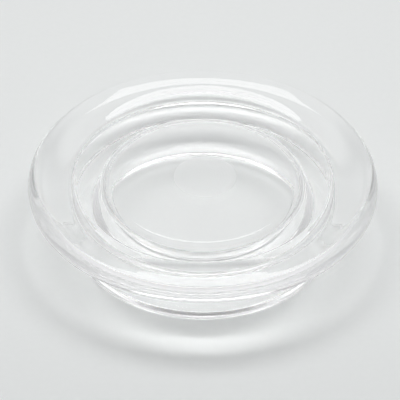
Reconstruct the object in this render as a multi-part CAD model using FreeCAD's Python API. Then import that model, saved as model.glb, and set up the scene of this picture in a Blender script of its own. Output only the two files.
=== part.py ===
import FreeCAD, Part
import math
import os

# A thick round watch glass, pressed as one piece of clear glass. A flat plate lies a little below a broad
# crowned rim, the rim stands out as a flange, and below the plate a ring-shaped foot stands round a hollow.
# Millimetres. The axis of the glass is Z, and the origin is the centre of the foot's underside, at Z = 0.

# Overall size
RIM_DIAMETER = 67.0
RIM_HEIGHT = 15.2

# Rim: a crowned top that falls away at both sides, over a flange with a crisp lower edge
FLANGE_THICKNESS = 3.2
CREST_INSET = 4.8
CROWN_ROUND = 7.5
OUTER_SLOPE = math.radians(10)
INNER_SLOPE = math.radians(25)
RIM_SIDE_LAND = 0.36
LOWER_EDGE_ROUND = 0.2

# Underside of the flange: it slopes down from the rim's lower edge and then runs level to the foot
UNDERSIDE_SLOPE_WIDTH = 3.7
UNDERSIDE_DROP = 1.0
UNDERSIDE_ROUND = 6.0

# Plate: the flat that lies inside the rim
PLATE_DROP = 1.1
PLATE_THICKNESS = 2.0
PLATE_CORNER_ROUND = 1.5

# Foot: the wall below the flange
FLANGE_OVERHANG = 8.2
FOOT_WALL = 4.75
FOOT_TAPER = 0.1
FOOT_EDGE_ROUND = 0.7
FOOT_JOINT_ROUND = 2.0

# Hollow: open below, wider at its mouth than under the plate
HOLLOW_TAPER = 1.05
HOLLOW_TOP_ROUND = 2.3
HOLLOW_MOUTH_ROUND = 1.8

# Two arcs that end nearer to each other than this follow on with no straight stretch between them
TOUCHING = 0.001


def crown_corner(crest):
    """Where the crown's outer and inner slopes would meet above the crest, if the crown weren't rounded."""
    lean = (OUTER_SLOPE - INNER_SLOPE) / 2
    reach = CROWN_ROUND / math.cos((OUTER_SLOPE + INNER_SLOPE) / 2)
    centre = crest - FreeCAD.Vector(0, CROWN_ROUND)
    return centre + FreeCAD.Vector(math.sin(lean), math.cos(lean)) * reach


def rim_corners(rim, flange_height, plate_height):
    """The corners from the rim's lower edge over the crown to the plate, as (radius and height, rounding)."""
    crown = crown_corner(FreeCAD.Vector(rim - CREST_INSET, RIM_HEIGHT))
    shoulder = crown.y - (rim - crown.x) * math.tan(OUTER_SLOPE)
    crown_foot = crown.x - (crown.y - plate_height) / math.tan(INNER_SLOPE)
    shoulder_half_angle = (math.pi / 2 + OUTER_SLOPE) / 2
    outer_round = (shoulder - flange_height - RIM_SIDE_LAND) * math.tan(shoulder_half_angle)
    return [
        (FreeCAD.Vector(rim, flange_height), LOWER_EDGE_ROUND),
        (FreeCAD.Vector(rim, shoulder), outer_round),
        (crown, CROWN_ROUND),
        (FreeCAD.Vector(crown_foot, plate_height), PLATE_CORNER_ROUND),
    ]


def corners():
    """The section's corners as (radius and height, rounding), from the axis below to the axis above."""
    rim = RIM_DIAMETER / 2
    foot = rim - FLANGE_OVERHANG
    mouth = foot - FOOT_WALL
    flange_height = RIM_HEIGHT - FLANGE_THICKNESS
    underside = flange_height - UNDERSIDE_DROP
    plate_height = RIM_HEIGHT - PLATE_DROP
    hollow_height = plate_height - PLATE_THICKNESS
    return [
        (FreeCAD.Vector(0, hollow_height), 0),
        (FreeCAD.Vector(mouth - HOLLOW_TAPER, hollow_height), HOLLOW_TOP_ROUND),
        (FreeCAD.Vector(mouth, 0), HOLLOW_MOUTH_ROUND),
        (FreeCAD.Vector(foot, 0), FOOT_EDGE_ROUND),
        (FreeCAD.Vector(foot + FOOT_TAPER, underside), FOOT_JOINT_ROUND),
        (FreeCAD.Vector(rim - UNDERSIDE_SLOPE_WIDTH, underside), UNDERSIDE_ROUND),
        *rim_corners(rim, flange_height, plate_height),
        (FreeCAD.Vector(0, plate_height), 0),
    ]


def rounded_corner(before, corner, after, radius):
    """The start, middle and end of the arc that rounds a corner between two straight stretches."""
    to_before = (before - corner).normalize()
    to_after = (after - corner).normalize()
    half_angle = to_before.getAngle(to_after) / 2
    setback = radius / math.tan(half_angle)
    inward = (to_before + to_after).normalize()
    centre = corner + inward * (radius / math.sin(half_angle))
    return corner + to_before * setback, centre - inward * radius, corner + to_after * setback


def upright(point):
    """A point of the section, (radius, height), in the XZ plane."""
    return FreeCAD.Vector(point.x, 0, point.y)


def section():
    """Half of the glass's cross-section, as a face beside the axis."""
    outline = corners()
    edges = []
    last = outline[0][0]
    for before, here, after in zip(outline, outline[1:], outline[2:]):
        start, middle, end = rounded_corner(before[0], here[0], after[0], here[1])
        if last.distanceToPoint(start) > TOUCHING:
            edges.append(Part.makeLine(upright(last), upright(start)))
        edges.append(Part.Arc(upright(start), upright(middle), upright(end)).toShape())
        last = end
    edges.append(Part.makeLine(upright(last), upright(outline[-1][0])))
    edges.append(Part.makeLine(upright(outline[-1][0]), upright(outline[0][0])))
    return Part.Face(Part.Wire(edges))


def dish():
    """The whole glass: its section turned once round the axis."""
    return section().revolve(FreeCAD.Vector(0, 0, 0), FreeCAD.Vector(0, 0, 1), 360)


os.makedirs("parts", exist_ok=True)
dish().exportStep("parts/dish.step")
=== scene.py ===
"""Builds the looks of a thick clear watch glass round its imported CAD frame, on a pale floor in soft light.

The glass is one piece: a flat plate a little below a broad crowned rim, on a ring-shaped foot that stands
round a hollow. Lengths are metres. The axis of the glass is Z, and it stands on the floor at Z = 0.
"""

import math

import bpy
from bpy.props import FloatProperty, FloatVectorProperty, IntProperty, PointerProperty
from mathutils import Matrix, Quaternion, Vector


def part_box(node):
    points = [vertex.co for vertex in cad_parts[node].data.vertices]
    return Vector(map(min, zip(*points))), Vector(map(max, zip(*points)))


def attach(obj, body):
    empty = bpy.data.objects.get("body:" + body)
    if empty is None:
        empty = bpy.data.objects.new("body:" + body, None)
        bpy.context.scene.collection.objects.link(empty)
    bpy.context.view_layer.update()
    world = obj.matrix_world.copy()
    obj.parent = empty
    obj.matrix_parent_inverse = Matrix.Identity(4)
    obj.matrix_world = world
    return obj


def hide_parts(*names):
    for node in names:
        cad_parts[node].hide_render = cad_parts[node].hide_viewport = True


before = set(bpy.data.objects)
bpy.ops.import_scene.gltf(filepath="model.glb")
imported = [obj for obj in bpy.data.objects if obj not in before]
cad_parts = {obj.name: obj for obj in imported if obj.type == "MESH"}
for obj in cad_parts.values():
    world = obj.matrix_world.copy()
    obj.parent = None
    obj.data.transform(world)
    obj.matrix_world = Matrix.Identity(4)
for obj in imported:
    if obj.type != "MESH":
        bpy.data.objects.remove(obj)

bl_info = {
    "name": "Watch Glass",
    "version": (1, 0, 0),
    "blender": (4, 5, 0),
    "location": "View3D > Sidebar > Watch Glass",
    "description": "A thick clear watch glass on a pale floor in soft light",
    "category": "Object",
}

MM = 0.001
LOW, HIGH = (Vector(corner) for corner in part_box("dish"))
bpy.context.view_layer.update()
NODE_SPACING = 180


def length(name, description, default):
    """A length in metres that can be changed in the sidebar."""
    return FloatProperty(name=name, description=description, default=default, min=0,
                         unit="LENGTH", precision=5)


def angle(name, description, degrees):
    """An angle, given in degrees, that can be changed in the sidebar."""
    return FloatProperty(name=name, description=description, default=math.radians(degrees), subtype="ANGLE")


def amount(name, description, default, top=1.0):
    """A plain number that can be changed in the sidebar."""
    return FloatProperty(name=name, description=description, default=default, min=0, max=top, precision=4)


def colour(name, description, default):
    """A colour that can be changed in the sidebar."""
    return FloatVectorProperty(name=name, description=description, default=default, size=3, min=0, max=1,
                               subtype="COLOR")


class GlassSizes(bpy.types.PropertyGroup):
    """Sizes of the glass's section."""

    rim_diameter: length("Rim diameter", "Across the whole glass", HIGH.x - LOW.x)
    rim_height: length("Rim height", "From the floor to the rim's crest", HIGH.z - LOW.z)
    flange_thickness: length("Flange thickness", "From the rim's lower edge to its crest", 3.2 * MM)
    crest_inset: length("Crest inset", "From the rim's edge in to its crest", 4.8 * MM)
    crown_round: length("Crown rounding", "Radius of the rim's crowned top", 7.5 * MM)
    outer_slope: angle("Outer slope", "How steeply the crown falls outwards before its outer round", 10)
    inner_slope: angle("Inner slope", "How steeply the crown falls in to the plate", 25)
    rim_side_land: length("Rim side land", "Upright stretch of the rim's side", 0.36 * MM)
    lower_edge_round: length("Lower edge rounding", "Radius of the rim's crisp lower edge", 0.2 * MM)
    underside_slope_width: length("Underside slope width", "How far in the underside's slope runs", 3.7 * MM)
    underside_drop: length("Underside drop", "How much lower the underside is at the foot", 1 * MM)
    underside_round: length("Underside rounding", "Radius where the underside's slope ends", 6 * MM)
    plate_drop: length("Plate drop", "From the rim's crest down to the plate", 1.1 * MM)
    plate_thickness: length("Plate thickness", "Glass between the plate's face and the hollow", 2 * MM)
    plate_corner_round: length("Plate corner rounding", "Radius where the plate meets the crown", 1.5 * MM)
    flange_overhang: length("Flange overhang", "How far the rim stands out past the foot", 8.2 * MM)
    foot_wall: length("Foot wall", "Thickness of the foot's wall at the floor", 4.75 * MM)
    foot_taper: length("Foot taper", "How much further out the foot's wall is under the flange", 0.1 * MM)
    foot_edge_round: length("Foot edge rounding", "Radius of the foot's outer edge", 0.7 * MM)
    foot_joint_round: length("Foot joint rounding", "Radius where the foot meets the flange", 2 * MM)
    hollow_taper: length("Hollow taper", "How much narrower the hollow is under the plate", 1.05 * MM)
    hollow_top_round: length("Hollow top rounding", "Radius where the hollow meets the plate", 2.3 * MM)
    hollow_mouth_round: length("Hollow mouth rounding", "Radius of the foot's inner edge", 1.8 * MM)
    mark_radius: length("Turning mark radius", "Radius of the faint turned disc in the middle", 6.1 * MM)
    mark_offset: length("Turning mark offset", "How far the turned disc lies off the axis", 0.4 * MM)
    profile_step: length("Profile step", "Longest step along the section's straight stretches", 0.6 * MM)
    turns: IntProperty(name="Turns", description="Steps round the axis", default=288, min=48)


class GlassFinish(bpy.types.PropertyGroup):
    """How clear and how smooth the glass is."""

    tint: colour("Tint", "Colour of the light that the glass lets through", (1.0, 1.0, 1.0))
    index: amount("Index of refraction", "How strongly the glass bends light", 1.5, top=3)
    mark_roughness: amount("Turning mark roughness", "Roughness of the turned disc", 0.3)
    mark_pitch: length("Turning mark pitch", "From one turned ring to the next", 0.55 * MM)
    mark_depth: length("Turning mark depth", "Depth of the turned rings", 0.004 * MM)


class StageSettings(bpy.types.PropertyGroup):
    """The floor, the lights and the camera."""

    floor_colour: colour("Floor colour", "Colour of the matt floor", (0.835, 0.85, 0.843))
    floor_gap: length("Floor gap", "Air between the foot and the floor", 0.03 * MM)
    strip_width: length("Strip width", "Width of the overhead strip from left to right", 0.29)
    strip_depth: length("Strip depth", "Width of the overhead strip from front to back", 0.12)
    strip_height: length("Strip height", "Height of the overhead strip above the floor", 0.3)
    strip_back: length("Strip set-back", "How far behind the glass the overhead strip hangs", 0.068)
    strip_power: FloatProperty(name="Strip power", description="Power of the overhead strip",
                               default=0.44, unit="POWER")
    surround_colour: colour("Surround colour", "Colour of the light from all round", (0.985, 0.99, 1.0))
    surround_low: amount("Surround at the horizon", "Brightness of the light that comes in low", 0.66, top=10)
    surround_high: amount("Surround overhead", "Brightness of the light from above", 0.3, top=10)
    back_glow: amount("Back glow", "Extra brightness of the pale wall behind the glass", 0.36, top=10)
    back_glow_elevation: angle("Back glow elevation", "How high above the horizon the back glow is", 42)
    back_glow_spread: angle("Back glow spread", "How far the back glow reaches from its middle", 55)
    camera_distance: length("Camera distance", "From the camera to the middle of the foot", 0.6)
    camera_elevation: angle("Camera elevation", "How far above the floor the camera looks from", 41.5)
    camera_roll: angle("Camera roll", "How far the camera leans over", 0.34)
    camera_lens: FloatProperty(name="Camera lens", description="Focal length in millimetres", default=277.8)
    camera_shift: FloatVectorProperty(name="Camera shift", default=(-0.0065, 0.0788), size=2,
                                      description="Shift of the framing, as a share of its width")


# Section of the glass


def crown_corner(sizes):
    """Where the crown's outer and inner slopes would meet above the crest, as (radius, height)."""
    lean = (sizes.outer_slope - sizes.inner_slope) / 2
    reach = sizes.crown_round / math.cos((sizes.outer_slope + sizes.inner_slope) / 2)
    crest = sizes.rim_diameter / 2 - sizes.crest_inset
    return crest + reach * math.sin(lean), sizes.rim_height - sizes.crown_round + reach * math.cos(lean)


def rim_corners(sizes, flange, plate):
    """The corners from the rim's lower edge over the crown to the plate."""
    rim = sizes.rim_diameter / 2
    crown_radius, crown_height = crown_corner(sizes)
    shoulder = crown_height - (rim - crown_radius) * math.tan(sizes.outer_slope)
    crown_foot = crown_radius - (crown_height - plate) / math.tan(sizes.inner_slope)
    shoulder_half_angle = (math.pi / 2 + sizes.outer_slope) / 2
    outer_round = (shoulder - flange - sizes.rim_side_land) * math.tan(shoulder_half_angle)
    return [
        ("Rim lower edge", rim, flange, sizes.lower_edge_round),
        ("Rim shoulder", rim, shoulder, outer_round),
        ("Crown", crown_radius, crown_height, sizes.crown_round),
        ("Crown foot", crown_foot, plate, sizes.plate_corner_round),
    ]


def corners(sizes):
    """The section's corners as (name, radius, height, rounding), from the axis below to the axis above."""
    rim = sizes.rim_diameter / 2
    foot = rim - sizes.flange_overhang
    mouth = foot - sizes.foot_wall
    flange = sizes.rim_height - sizes.flange_thickness
    underside = flange - sizes.underside_drop
    plate = sizes.rim_height - sizes.plate_drop
    hollow = plate - sizes.plate_thickness
    return [
        ("Hollow centre", 0, hollow, 0),
        ("Hollow top", mouth - sizes.hollow_taper, hollow, sizes.hollow_top_round),
        ("Hollow mouth", mouth, 0, sizes.hollow_mouth_round),
        ("Foot edge", foot, 0, sizes.foot_edge_round),
        ("Foot joint", foot + sizes.foot_taper, underside, sizes.foot_joint_round),
        ("Underside", rim - sizes.underside_slope_width, underside, sizes.underside_round),
        *rim_corners(sizes, flange, plate),
        ("Plate centre", 0, plate, 0),
    ]


# Node trees


def add_node(tree, kind, inputs=None, **settings):
    """A new node to the right of the last one. An input given a socket is linked, and any other is set."""
    node = tree.nodes.new(kind)
    node.location.x = NODE_SPACING * len(tree.nodes)
    for name, value in settings.items():
        setattr(node, name, value)
    for key, value in (inputs or {}).items():
        if isinstance(value, bpy.types.NodeSocket):
            tree.links.new(value, node.inputs[key])
        else:
            node.inputs[key].default_value = value
    return node


def first_output(tree, kind, inputs=None, **settings):
    """The first output of a new node."""
    return add_node(tree, kind, inputs, **settings).outputs[0]


def maths(tree, operation, first, second=0.0, clamp=False):
    """The result of a Math node."""
    terms = {0: first, 1: second}
    return first_output(tree, "ShaderNodeMath", terms, operation=operation, use_clamp=clamp)


def pick(tree, data_type, index, values):
    """The value whose place in the list is the index."""
    node = tree.nodes.new("GeometryNodeIndexSwitch")
    node.data_type = data_type
    while len(node.index_switch_items) < len(values):
        node.index_switch_items.new()
    tree.links.new(index, node.inputs["Index"])
    for place, value in enumerate(values, 1):
        tree.links.new(value, node.inputs[place])
    return node.outputs[0]


def fillet_steps(tree, rounding):
    """How many points a rounding gets: a few more the larger it is."""
    fewest, step = 9, 0.4 * MM
    return maths(tree, "ADD", maths(tree, "DIVIDE", rounding, step), fewest)


def straight_cuts(tree, step):
    """How many times each stretch to the next point is cut, so that no step is longer than the one given."""
    here = first_output(tree, "GeometryNodeInputPosition")
    following = add_node(tree, "GeometryNodeOffsetPointInCurve", {"Offset": 1}).outputs["Point Index"]
    there = first_output(tree, "GeometryNodeFieldAtIndex", {"Value": here, "Index": following},
                         domain="POINT", data_type="FLOAT_VECTOR")
    gap = add_node(tree, "ShaderNodeVectorMath", {0: here, 1: there}, operation="DISTANCE")
    return maths(tree, "DIVIDE", gap.outputs["Value"], step)


def section_curve(tree, places, roundings, step):
    """The section as a curve, with its corners rounded and its straight stretches cut into steps."""
    index = first_output(tree, "GeometryNodeInputIndex")
    line = first_output(tree, "GeometryNodeMeshLine", {"Count": len(places)})
    position = pick(tree, "VECTOR", index, places)
    outline = first_output(tree, "GeometryNodeSetPosition", {"Geometry": line, "Position": position})
    curve = first_output(tree, "GeometryNodeMeshToCurve", {"Mesh": outline})
    rounding = pick(tree, "FLOAT", index, roundings)
    rounded = first_output(tree, "GeometryNodeFilletCurve", {
        "Curve": curve,
        "Count": fillet_steps(tree, rounding),
        "Radius": rounding,
    }, mode="POLY")
    cuts = straight_cuts(tree, step)
    return first_output(tree, "GeometryNodeSubdivideCurve", {"Curve": rounded, "Cuts": cuts})


def name_sockets(tree, outline):
    """Gives the turned tree its inputs, two of them for each corner of the section, and its output."""
    kinds = {name: "Vector" for name, *_ in outline}
    kinds.update({name + " rounding": "Float" for name, *_ in outline})
    kinds.update({"Turning radius": "Float", "Profile step": "Float", "Turns": "Int", "Material": "Material"})
    for name, kind in kinds.items():
        tree.interface.new_socket(name, in_out="INPUT", socket_type="NodeSocket" + kind)
    tree.interface.new_socket("Geometry", in_out="OUTPUT", socket_type="NodeSocketGeometry")


def turned_tree(outline):
    """A node tree that rounds a section's corners and turns it round Z into a closed solid."""
    tree = bpy.data.node_groups.new("Turned glass", "GeometryNodeTree")
    name_sockets(tree, outline)
    given = add_node(tree, "NodeGroupInput").outputs
    places = [given[name] for name, *_ in outline]
    roundings = [given[name + " rounding"] for name, *_ in outline]
    section = section_curve(tree, places, roundings, given["Profile step"])
    circle = first_output(tree, "GeometryNodeCurvePrimitiveCircle",
                          {"Resolution": given["Turns"], "Radius": given["Turning radius"]})
    rail = first_output(tree, "GeometryNodeSetCurveNormal", {"Curve": circle}, mode="Z_UP")
    turned = first_output(tree, "GeometryNodeCurveToMesh", {"Curve": rail, "Profile Curve": section})
    same_point = 0.002 * MM
    closed = first_output(tree, "GeometryNodeMergeByDistance", {"Geometry": turned, "Distance": same_point})
    outward = first_output(tree, "GeometryNodeFlipFaces", {"Mesh": closed})
    smooth = first_output(tree, "GeometryNodeSetShadeSmooth", {"Geometry": outward})
    real = first_output(tree, "GeometryNodeRealizeInstances", {"Geometry": smooth})
    glass = first_output(tree, "GeometryNodeSetMaterial", {"Geometry": real, "Material": given["Material"]})
    add_node(tree, "NodeGroupOutput", {"Geometry": glass})
    return tree


def tree_inputs(sizes, material):
    """The values of the turned tree's inputs, by name.

    The section is turned by a circle, on which its X points outwards and its Y down, from the circle's line.
    """
    turning_radius = sizes.rim_diameter / 2
    values = {
        "Turning radius": turning_radius,
        "Profile step": sizes.profile_step,
        "Turns": sizes.turns,
        "Material": material,
    }
    for name, radius, height, rounding in corners(sizes):
        values[name] = (radius - turning_radius, -height, 0)
        values[name + " rounding"] = rounding
    return values


def new_object(name, data):
    """A new object in the scene."""
    made = bpy.data.objects.new(name, data)
    bpy.context.scene.collection.objects.link(made)
    return made


def turned_object(name, sizes, material):
    """The glass as an object with a plain mesh, turned by a node tree."""
    tree = turned_tree(corners(sizes))
    maker = new_object(name + "_maker", bpy.data.meshes.new(name + "_maker"))
    modifier = maker.modifiers.new("Turned glass", "NODES")
    modifier.node_group = tree
    values = tree_inputs(sizes, material)
    for socket in tree.interface.items_tree:
        if socket.item_type == "SOCKET" and socket.in_out == "INPUT":
            modifier[socket.identifier] = values[socket.name]
    evaluated = maker.evaluated_get(bpy.context.evaluated_depsgraph_get())
    mesh = bpy.data.meshes.new_from_object(evaluated)
    bpy.data.objects.remove(maker)
    mesh.name = name
    return new_object(name, mesh)


# Finishes


def new_material(name):
    """A new material and its node tree, which is still empty."""
    material = bpy.data.materials.new(name)
    material.use_nodes = True
    material.node_tree.nodes.clear()
    return material, material.node_tree


def turning_mark(tree, sizes, finish):
    """The turned disc on the plate as (how much of it is here, its rings' height)."""
    near_plate, soft_edge = 0.3 * MM, 0.12 * MM
    place = add_node(tree, "ShaderNodeTexCoord").outputs["Object"]
    to_axis = (-sizes.mark_offset, 0, 0)
    centred = first_output(tree, "ShaderNodeMapping", {"Vector": place, "Location": to_axis})
    flat = first_output(tree, "ShaderNodeVectorMath", {0: centred, 1: (1, 1, 0)}, operation="MULTIPLY")
    radius = add_node(tree, "ShaderNodeVectorMath", {0: flat}, operation="LENGTH").outputs["Value"]
    height = add_node(tree, "ShaderNodeSeparateXYZ", {0: place}).outputs["Z"]
    plate = sizes.rim_height - sizes.plate_drop
    on_plate = maths(tree, "GREATER_THAN", height, plate - near_plate)
    from_edge = maths(tree, "SUBTRACT", sizes.mark_radius, radius)
    inside = maths(tree, "DIVIDE", from_edge, soft_edge, clamp=True)
    here = maths(tree, "MULTIPLY", on_plate, inside)
    rings = maths(tree, "SINE", maths(tree, "MULTIPLY", radius, math.tau / finish.mark_pitch))
    return here, maths(tree, "MULTIPLY", rings, here)


def clear_glass(sizes, finish):
    """Polished clear glass, faintly frosted where it was turned."""
    material, tree = new_material("polished_glass")
    here, rings = turning_mark(tree, sizes, finish)
    bump = first_output(tree, "ShaderNodeBump", {"Height": rings, "Distance": finish.mark_depth})
    roughness = maths(tree, "MULTIPLY", here, finish.mark_roughness)
    shader = first_output(tree, "ShaderNodeBsdfPrincipled", {
        "Base Color": (*finish.tint, 1),
        "Roughness": roughness,
        "IOR": finish.index,
        "Transmission Weight": 1,
        "Normal": bump,
    })
    add_node(tree, "ShaderNodeOutputMaterial", {"Surface": shader})
    return material


def floor_paper(settings):
    """Matt pale paper with a faint mottle."""
    material, tree = new_material("floor_paper")
    fineness, detail = 900, 3
    darkest, lightest = 0.985, 1.015
    place = add_node(tree, "ShaderNodeTexCoord").outputs["Object"]
    noise = {"Vector": place, "Scale": fineness, "Detail": detail}
    mottle = first_output(tree, "ShaderNodeTexNoise", noise)
    ramp = first_output(tree, "ShaderNodeMapRange", {"Value": mottle, "To Min": darkest, "To Max": lightest})
    pale = {0: tuple(settings.floor_colour), "Scale": ramp}
    paint = first_output(tree, "ShaderNodeVectorMath", pale, operation="SCALE")
    shader = first_output(tree, "ShaderNodeBsdfPrincipled", {
        "Base Color": paint,
        "Roughness": 0.95,
        "Specular IOR Level": 0.1,
    })
    add_node(tree, "ShaderNodeOutputMaterial", {"Surface": shader})
    return material


# Stage


def floor(settings):
    """A wide matt floor just under the foot."""
    half_width = 3
    height = -settings.floor_gap
    sides = ((-1, -1), (1, -1), (1, 1), (-1, 1))
    mesh = bpy.data.meshes.new("floor")
    mesh.from_pydata([(x * half_width, y * half_width, height) for x, y in sides], [], [(0, 1, 2, 3)])
    mesh.materials.append(floor_paper(settings))
    return new_object("floor", mesh)


def overhead_strip(settings):
    """A wide soft strip of light over the glass, a little behind it and aimed at it."""
    light = bpy.data.lights.new("overhead_strip", "AREA")
    light.shape = "RECTANGLE"
    light.size = settings.strip_width
    light.size_y = settings.strip_depth
    light.energy = settings.strip_power
    made = new_object("overhead_strip", light)
    made.location = (0, settings.strip_back, settings.strip_height)
    made.rotation_euler = made.location.to_track_quat("Z", "Y").to_euler()


def back_glow(tree, towards, settings):
    """Extra light from behind the glass, which fades out smoothly from its middle."""
    middle = (0, math.cos(settings.back_glow_elevation), math.sin(settings.back_glow_elevation))
    nearness = add_node(tree, "ShaderNodeVectorMath", {0: towards, 1: middle}, operation="DOT_PRODUCT")
    return first_output(tree, "ShaderNodeMapRange", {
        "Value": nearness.outputs["Value"],
        "From Min": math.cos(settings.back_glow_spread),
        "To Max": settings.back_glow,
    }, interpolation_type="SMOOTHSTEP")


def surround(settings):
    """Soft light from all round, brightest low down and behind, as from a paper sweep and pale walls."""
    world = bpy.data.worlds.new("surround")
    world.use_nodes = True
    tree = world.node_tree
    tree.nodes.clear()
    towards = add_node(tree, "ShaderNodeTexCoord").outputs["Generated"]
    height = add_node(tree, "ShaderNodeSeparateXYZ", {0: towards}).outputs["Z"]
    all_round = first_output(tree, "ShaderNodeMapRange", {
        "Value": height,
        "To Min": settings.surround_low,
        "To Max": settings.surround_high,
    })
    strength = maths(tree, "ADD", all_round, back_glow(tree, towards, settings))
    colour_of_light = (*settings.surround_colour, 1)
    glow = first_output(tree, "ShaderNodeBackground", {"Color": colour_of_light, "Strength": strength})
    add_node(tree, "ShaderNodeOutputWorld", {"Surface": glow})
    bpy.context.scene.world = world


def camera(settings):
    """The camera, in front of the glass and above it, a little off level."""
    lens = bpy.data.cameras.new("camera")
    lens.lens = settings.camera_lens
    lens.shift_x, lens.shift_y = settings.camera_shift
    lens.clip_start = 0.01
    made = new_object("camera", lens)
    back = Vector((0, -math.cos(settings.camera_elevation), math.sin(settings.camera_elevation)))
    made.location = back * settings.camera_distance
    aim = back.to_track_quat("Z", "Y")
    made.rotation_euler = (aim @ Quaternion((0, 0, 1), settings.camera_roll)).to_euler()
    bpy.context.scene.camera = made


def light_paths():
    """Enough bounces for light to cross the glass many times, with its sharp caustics kept."""
    bounces = 32
    cycles = bpy.context.scene.cycles
    cycles.max_bounces = bounces
    cycles.transmission_bounces = bounces
    cycles.glossy_bounces = bounces
    cycles.blur_glossy = 0


class WATCH_GLASS_OT_dish(bpy.types.Operator):
    """Make the watch glass"""

    bl_idname = "watch_glass.dish"
    bl_label = "Make the glass"

    def execute(self, context):
        sizes = context.scene.glass_sizes
        glass = turned_object("watch_glass", sizes, clear_glass(sizes, context.scene.glass_finish))
        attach(glass, "root")
        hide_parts("dish")
        return {"FINISHED"}


class WATCH_GLASS_OT_stage(bpy.types.Operator):
    """Make the floor, the lights and the camera"""

    bl_idname = "watch_glass.stage"
    bl_label = "Make the stage"

    def execute(self, context):
        settings = context.scene.stage_settings
        floor(settings)
        overhead_strip(settings)
        surround(settings)
        camera(settings)
        light_paths()
        context.scene.view_settings.view_transform = "Standard"
        return {"FINISHED"}


class VIEW3D_PT_watch_glass(bpy.types.Panel):
    """Lists the glass's sizes and finish, the stage's settings and the buttons that make them"""

    bl_label = "Watch Glass"
    bl_space_type = "VIEW_3D"
    bl_region_type = "UI"
    bl_category = "Watch Glass"

    def draw(self, context):
        scene = context.scene
        groups = (
            ("watch_glass.dish", scene.glass_sizes),
            ("watch_glass.dish", scene.glass_finish),
            ("watch_glass.stage", scene.stage_settings),
        )
        for button, settings in groups:
            box = self.layout.box()
            for name in type(settings).__annotations__:
                box.prop(settings, name)
            box.operator(button)


SETTINGS = {"glass_sizes": GlassSizes, "glass_finish": GlassFinish, "stage_settings": StageSettings}
CLASSES = (*SETTINGS.values(), WATCH_GLASS_OT_dish, WATCH_GLASS_OT_stage, VIEW3D_PT_watch_glass)


def register():
    """Adds the settings, the operators and the panel."""
    for registered in CLASSES:
        bpy.utils.register_class(registered)
    for name, group in SETTINGS.items():
        setattr(bpy.types.Scene, name, PointerProperty(type=group))


def unregister():
    """Takes the settings, the operators and the panel away again."""
    for name in SETTINGS:
        delattr(bpy.types.Scene, name)
    for registered in reversed(CLASSES):
        bpy.utils.unregister_class(registered)


def main():
    """Makes everything in order."""
    register()
    bpy.ops.watch_glass.stage()
    bpy.ops.watch_glass.dish()


if __name__ == "__main__":
    main()
